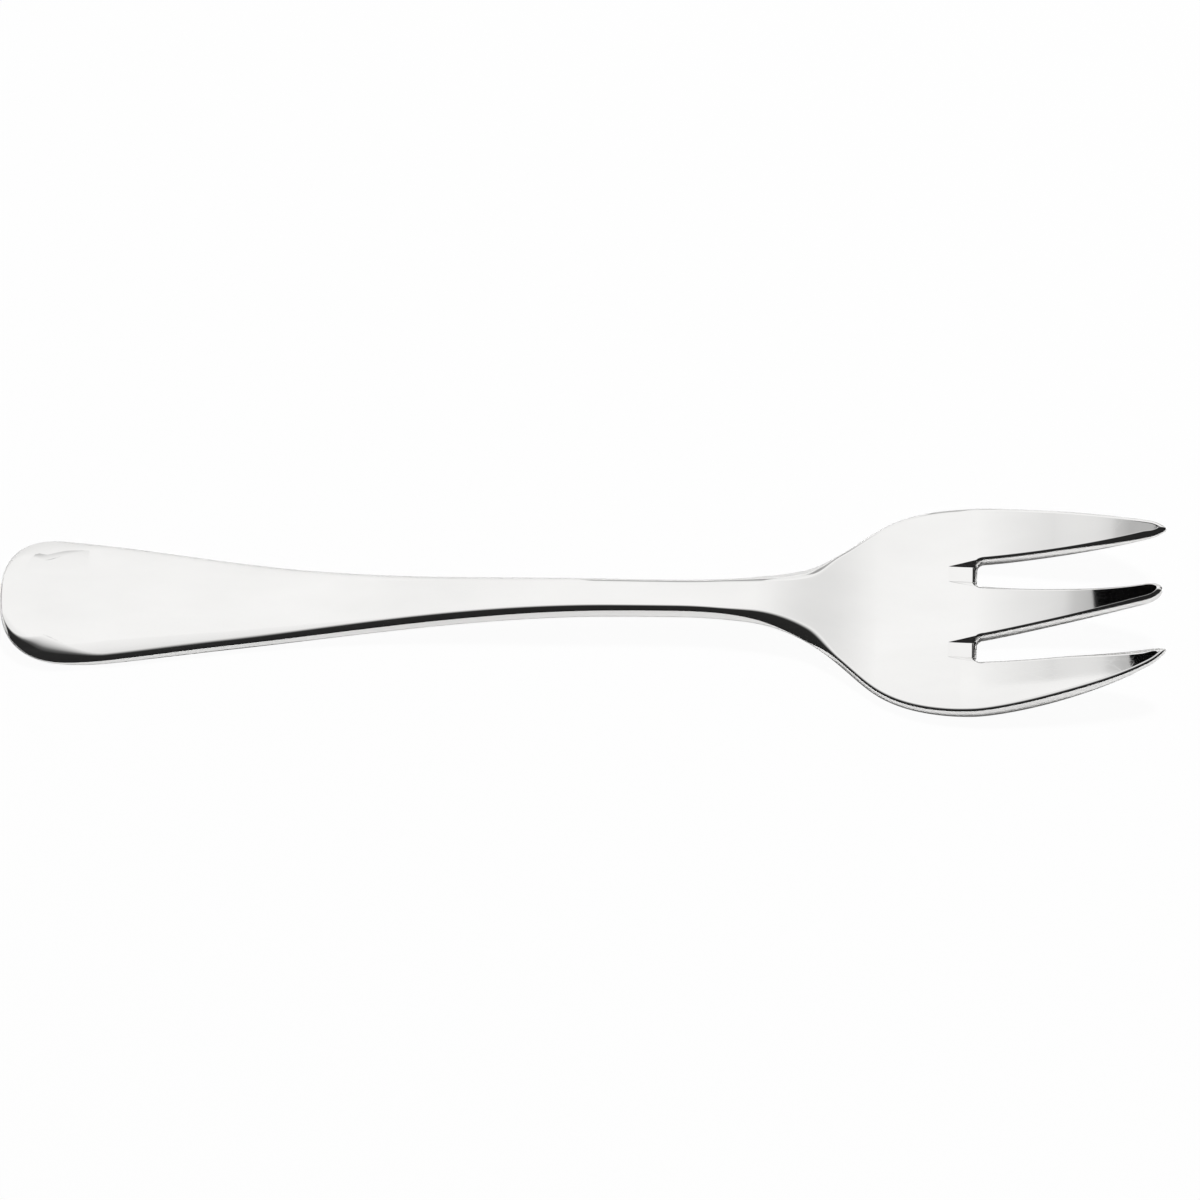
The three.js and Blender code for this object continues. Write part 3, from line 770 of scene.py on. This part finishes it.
def make_fork_mesh():
    """The fork's skin: its two faces, their edges and the walls between them."""
    skin = Skin()
    outline = border(plan(NO_INSET))
    upper_plan = plan(UPPER_INSET)
    lower_plan = plan(LOWER_INSET)
    upper_grids = add_face(skin, upper_plan, upper_face, flipped=False)
    lower_grids = add_face(skin, lower_plan, lower_face, flipped=True)
    turns = np.linspace(0, math.pi / 2, EDGE_STEPS + 1)[1:]
    station = outline[:, 0]
    in_slot = along_slot(outline)
    bevel = np.where(in_slot, BEVELLED_EDGE, rim_bevel(station))
    bevel_power = np.where(in_slot, SLOT_BEVEL_POWER, RIM_BEVEL_POWER)
    upper_depth = np.where(in_slot, slot_depth(station), rim_depth(station))
    lower_depth = np.where(in_slot, slot_under_depth(station), rim_under_depth(station))
    reach = edge_reach(station)[:, None]
    upper_border = border(upper_plan)
    lower_border = border(lower_plan)
    upper_rings = []
    lower_rings = []
    for turn in turns:
        out = math.sin(turn)
        rounded = 1 - math.cos(turn)
        drop = upper_depth * blend(rounded, out**bevel_power, bevel)
        upper_rings.append(pressed(blend(upper_border, outline, reach * out), upper_face, drop))
        lower_rings.append(pressed(blend(lower_border, outline, out), lower_face, -lower_depth * rounded))
    shares = np.linspace(0, 1, WALL_STEPS + 1)[1:-1]
    wall_rings = [blend(upper_rings[-1], lower_rings[-1], share) for share in shares]
    rings = [border(upper_grids)]
    rings += [skin.add(ring) for ring in upper_rings + wall_rings + lower_rings[::-1]]
    rings.append(border(lower_grids))
    closed = np.array([np.append(ring, ring[0]) for ring in rings])
    skin.fill(closed, flipped=False)
    return skin.mesh("fork_skin")


def new_material(name):
    material = bpy.data.materials.new(name)
    material.use_nodes = True
    nodes = material.node_tree.nodes
    nodes.clear()
    return material, nodes, material.node_tree.links


def send_out(nodes, links, shader, kind="ShaderNodeOutputMaterial"):
    """Connect a shader to the output of its material or world."""
    output = nodes.new(kind)
    links.new(shader.outputs[0], output.inputs["Surface"])


def mixed(nodes, links, share, first, second):
    """A shader between two others: the first one at a share of 0 and the second one at 1."""
    mix = nodes.new("ShaderNodeMixShader")
    links.new(share, mix.inputs[0])
    links.new(first.outputs[0], mix.inputs[1])
    links.new(second.outputs[0], mix.inputs[2])
    return mix


def grey(level):
    return (level, level, level, 1)


def seen_in_metal(nodes, links, path):
    """1 for a ray that metal mirrors or glass lets through, and 0 for any other."""
    return calculate(
        nodes, links, "MAXIMUM", path.outputs["Is Glossy Ray"], path.outputs["Is Transmission Ray"]
    )


def calculate(nodes, links, operation, *values):
    """A math node over sockets and plain numbers."""
    node = nodes.new("ShaderNodeMath")
    node.operation = operation
    for socket, value in zip(node.inputs, values):
        if isinstance(value, bpy.types.NodeSocket):
            links.new(value, socket)
        else:
            socket.default_value = value
    return node.outputs[0]


def change_range(nodes, links, value, from_low, from_high, to_low, to_high):
    node = nodes.new("ShaderNodeMapRange")
    for name, number in (
        ("From Min", from_low),
        ("From Max", from_high),
        ("To Min", to_low),
        ("To Max", to_high),
    ):
        node.inputs[name].default_value = number
    links.new(value, node.inputs["Value"])
    return node.outputs["Result"]


def stretched(nodes, links, lengths, turn=0):
    """Object coordinates in which a pattern repeats about once in each of three lengths."""
    place = nodes.new("ShaderNodeTexCoord")
    mapping = nodes.new("ShaderNodeMapping")
    mapping.vector_type = "TEXTURE"
    mapping.inputs["Rotation"].default_value = (0, 0, turn)
    mapping.inputs["Scale"].default_value = lengths
    links.new(place.outputs["Object"], mapping.inputs["Vector"])
    return mapping.outputs["Vector"]


def noise(nodes, links, lengths, detail):
    texture = nodes.new("ShaderNodeTexNoise")
    texture.inputs["Scale"].default_value = 1
    texture.inputs["Detail"].default_value = detail
    links.new(stretched(nodes, links, lengths), texture.inputs["Vector"])
    return texture.outputs["Fac"]


def scratches(nodes, links, lengths, turn):
    """Thin broken lines along the borders of long cells: 1 on a scratch and 0 beside it."""
    cells = nodes.new("ShaderNodeTexVoronoi")
    cells.feature = "DISTANCE_TO_EDGE"
    cells.inputs["Scale"].default_value = 1
    links.new(stretched(nodes, links, lengths, turn), cells.inputs["Vector"])
    line = change_range(nodes, links, cells.outputs["Distance"], 0, SCRATCH_SHARE, 1, 0)
    breaks = noise(nodes, links, SCRATCH_BREAKS, SCRATCH_BREAKS_DETAIL)
    kept = change_range(nodes, links, breaks, *SCRATCH_BREAKS_RANGE, 0, 1)
    return calculate(nodes, links, "MULTIPLY", line, kept)


def make_steel():
    material, nodes, links = new_material("polished_stainless_steel")
    shader = nodes.new("ShaderNodeBsdfPrincipled")
    shader.inputs["Metallic"].default_value = 1
    grain = noise(nodes, links, POLISH_GRAIN, POLISH_GRAIN_DETAIL)
    clouds = noise(nodes, links, POLISH_CLOUDS, POLISH_CLOUDS_DETAIL)
    marks = [scratches(nodes, links, SCRATCH_CELLS, turn) for turn in SCRATCH_TURNS]
    scratch = calculate(nodes, links, "MAXIMUM", *marks)

    tint = nodes.new("ShaderNodeMix")
    tint.data_type = "RGBA"
    tint.inputs["A"].default_value = STEEL_DEEP
    tint.inputs["B"].default_value = STEEL_LIGHT
    links.new(change_range(nodes, links, clouds, *TINT_RANGE, 0, 1), tint.inputs["Factor"])
    links.new(tint.outputs["Result"], shader.inputs["Base Color"])

    wear = calculate(nodes, links, "ADD", grain, clouds)
    polish = change_range(nodes, links, wear, *WEAR_RANGE, *STEEL_ROUGHNESS)
    rough = calculate(nodes, links, "MULTIPLY_ADD", scratch, SCRATCH_ROUGHNESS, polish)
    links.new(rough, shader.inputs["Roughness"])

    bump = nodes.new("ShaderNodeBump")
    bump.inputs["Strength"].default_value = POLISH_BUMP_STRENGTH
    bump.inputs["Distance"].default_value = POLISH_BUMP_HEIGHT
    links.new(calculate(nodes, links, "SUBTRACT", grain, scratch), bump.inputs["Height"])
    links.new(bump.outputs["Normal"], shader.inputs["Normal"])

    send_out(nodes, links, shader)
    return material


def make_fork():
    fork = bpy.data.objects.new("fork_polished", make_fork_mesh())
    bpy.context.collection.objects.link(fork)
    fork.data.materials.append(make_steel())
    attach(fork, "root")
    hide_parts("fork")


def make_floor():
    material, nodes, links = new_material("white_table")
    matt = nodes.new("ShaderNodeBsdfDiffuse")
    matt.inputs["Color"].default_value = grey(FLOOR_COLOUR)
    white = nodes.new("ShaderNodeEmission")
    path = nodes.new("ShaderNodeLightPath")
    in_metal = seen_in_metal(nodes, links, path)
    to_camera = calculate(nodes, links, "MULTIPLY", path.outputs["Is Camera Ray"], FLOOR_WHITENESS)
    share = calculate(nodes, links, "MULTIPLY_ADD", in_metal, FLOOR_WHITENESS_IN_METAL, to_camera)
    send_out(nodes, links, mixed(nodes, links, share, matt, white))
    bpy.ops.mesh.primitive_plane_add(size=FLOOR_SIZE, location=(0, 0, cad_low.z - FLOOR_GAP))
    floor = bpy.context.object
    floor.name = "floor"
    floor.data.materials.append(material)


def make_world():
    world = bpy.data.worlds.new("white_studio")
    world.use_nodes = True
    nodes = world.node_tree.nodes
    links = world.node_tree.links
    nodes.clear()
    path = nodes.new("ShaderNodeLightPath")
    in_metal = seen_in_metal(nodes, links, path)
    seen = calculate(nodes, links, "MAXIMUM", path.outputs["Is Camera Ray"], in_metal)
    dome = nodes.new("ShaderNodeBackground")
    dome.inputs["Strength"].default_value = DOME_STRENGTH
    white = nodes.new("ShaderNodeBackground")
    for background in (dome, white):
        background.inputs["Color"].default_value = grey(1)
    send_out(nodes, links, mixed(nodes, links, seen, dome, white), "ShaderNodeOutputWorld")
    bpy.context.scene.world = world


def make_softbox():
    """A softbox behind the fork, so that the near walls mirror a shadow. The metal doesn't show it."""
    light = bpy.data.lights.new("softbox", "AREA")
    light.shape = "SQUARE"
    light.size = SOFTBOX_SIZE
    light.energy = SOFTBOX_POWER
    softbox = bpy.data.objects.new("softbox", light)
    softbox.location = SOFTBOX_PLACE
    softbox.rotation_euler = SOFTBOX_PLACE.to_track_quat("Z", "Y").to_euler()
    softbox.visible_glossy = False
    bpy.context.collection.objects.link(softbox)


def card_material(name, levels):
    """Plain greys that change with the angle round the card's own Y axis, from straight up."""
    first, last = levels[0][0], levels[-1][0]
    material, nodes, links = new_material(name)
    place = nodes.new("ShaderNodeTexCoord")
    parts = nodes.new("ShaderNodeSeparateXYZ")
    links.new(place.outputs["Object"], parts.inputs[0])
    angle = calculate(nodes, links, "ARCTAN2", parts.outputs["X"], parts.outputs["Z"])
    share = change_range(nodes, links, angle, math.radians(first), math.radians(last), 0, 1)
    ramp = nodes.new("ShaderNodeValToRGB")
    links.new(share, ramp.inputs[0])
    stops = ramp.color_ramp.elements
    while len(stops) < len(levels):
        stops.new(1)
    for stop, (degrees, level) in zip(stops, levels):
        stop.position = (degrees - first) / (last - first)
        stop.color = grey(level)
    light = nodes.new("ShaderNodeEmission")
    links.new(ramp.outputs[0], light.inputs["Color"])
    send_out(nodes, links, light)
    return material


def add_card(name, corners, quads, material):
    """A studio card that shows only in the metal."""
    mesh = bpy.data.meshes.new(name)
    mesh.from_pydata(corners, [], quads)
    mesh.materials.append(material)
    card = bpy.data.objects.new(name, mesh)
    bpy.context.collection.objects.link(card)
    card.visible_camera = False
    card.visible_diffuse = False
    card.visible_shadow = False
    return card


def make_bent_card(name, heading, radius, levels, ends=CARD_ENDS):
    """A card bent over the fork, down towards a heading from +X."""
    angles = np.radians(np.linspace(levels[0][0], levels[-1][0], CARD_SEGMENTS + 1))
    near = [(radius * math.sin(angle), ends[0], radius * math.cos(angle)) for angle in angles]
    far = [(x, ends[1], z) for x, _, z in near]
    count = len(near)
    quads = [(at, at + 1, count + at + 1, count + at) for at in range(count - 1)]
    card = add_card(name, near + far, quads, card_material(name, levels))
    card.rotation_euler.z = math.radians(heading)


def make_dark_panel():
    material, nodes, links = new_material("dark_panel")
    light = nodes.new("ShaderNodeEmission")
    light.inputs["Color"].default_value = grey(PANEL_LEVEL)
    send_out(nodes, links, light)
    corners = [(along, PANEL_BACK, height) for along, height in PANEL_CORNERS]
    add_card("dark_panel", corners, [tuple(range(len(corners)))], material)


def make_cards():
    make_bent_card("front_hood", HOOD_HEADING, HOOD_RADIUS, HOOD_LEVELS)
    make_bent_card("left_wing", LEFT_HEADING, WING_RADIUS, LEFT_LEVELS, LEFT_ENDS)
    make_bent_card("right_wing", RIGHT_HEADING, WING_RADIUS, RIGHT_LEVELS)
    make_bent_card("back_card", BACK_HEADING, BACK_RADIUS, BACK_LEVELS)
    make_bent_card("back_stripe", BACK_HEADING, STRIPE_RADIUS, STRIPE_LEVELS, STRIPE_ENDS)
    make_dark_panel()


def make_camera():
    flat = math.cos(VIEW_ELEVATION)
    back = Vector((math.sin(VIEW_AZIMUTH) * flat, -math.cos(VIEW_AZIMUTH) * flat, math.sin(VIEW_ELEVATION)))
    right = Vector((math.cos(VIEW_AZIMUTH), math.sin(VIEW_AZIMUTH), 0))
    up = back.cross(right)
    pixel = SENSOR_WIDTH / LENS_LENGTH * VIEW_DISTANCE / FRAME_PIXELS
    middle = FRAME_PIXELS / 2
    aim = right * (middle - ORIGIN_PIXEL[0]) * pixel + up * (ORIGIN_PIXEL[1] - middle) * pixel
    data = bpy.data.cameras.new("camera")
    data.sensor_width = SENSOR_WIDTH / MM
    data.lens = LENS_LENGTH / MM
    data.clip_end = CLIP_DISTANCE
    camera = bpy.data.objects.new("camera", data)
    bpy.context.collection.objects.link(camera)
    turn = Matrix((right, up, back)).transposed().to_4x4()
    camera.matrix_world = Matrix.Translation(aim + back * VIEW_DISTANCE) @ turn
    bpy.context.scene.camera = camera


make_fork()
make_floor()
make_world()
make_softbox()
make_cards()
make_camera()
bpy.context.scene.view_settings.view_transform = "Standard"
